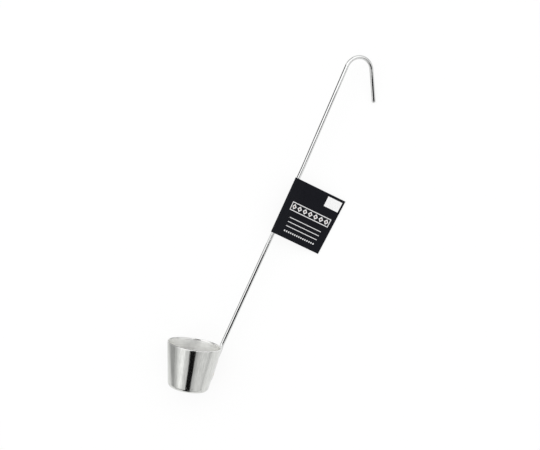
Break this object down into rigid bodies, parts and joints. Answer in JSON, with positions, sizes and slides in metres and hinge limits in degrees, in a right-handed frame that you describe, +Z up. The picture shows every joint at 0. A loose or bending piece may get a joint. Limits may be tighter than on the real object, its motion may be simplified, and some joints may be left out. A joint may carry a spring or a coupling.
{
  "type": "syrup ladle",
  "caption": "Small cone-sided steel cup on a long wire handle with an open hook, and a black card tag folded round the wire; lifts and pours syrup or sauce.",
  "frame": {"origin": "middle of the footprint, on the table the ladle lies on", "axes": "+X along the cup's axis as seen from above, from base to mouth; +Z up from the table; the hook lies towards -Y"},
  "size_m": [0.2617, 0.1223, 0.0394],
  "materials": {
    "cup_steel": "polished with fine drawing lines",
    "wire_steel": "bright drawn wire",
    "weld_steel": "plain",
    "black_card": "printed card, low sheen",
    "adhesive": "plain"
  },
  "bodies": {
    "ladle": {"cup": "cup_steel", "handle": "wire_steel", "weld_upper": "weld_steel", "weld_lower": "weld_steel"},
    "tag": {"tag_card": "black_card", "tag_film": "adhesive"}
  },
  "joints": [
    {"name": "tag_turn", "type": "hinge", "parent": "ladle", "child": "tag", "pos_m": [0.01393, -0.00805, 0.01312], "axis": [-0.9639, 0.2651, -0.0243], "continuous": true}
  ]
}
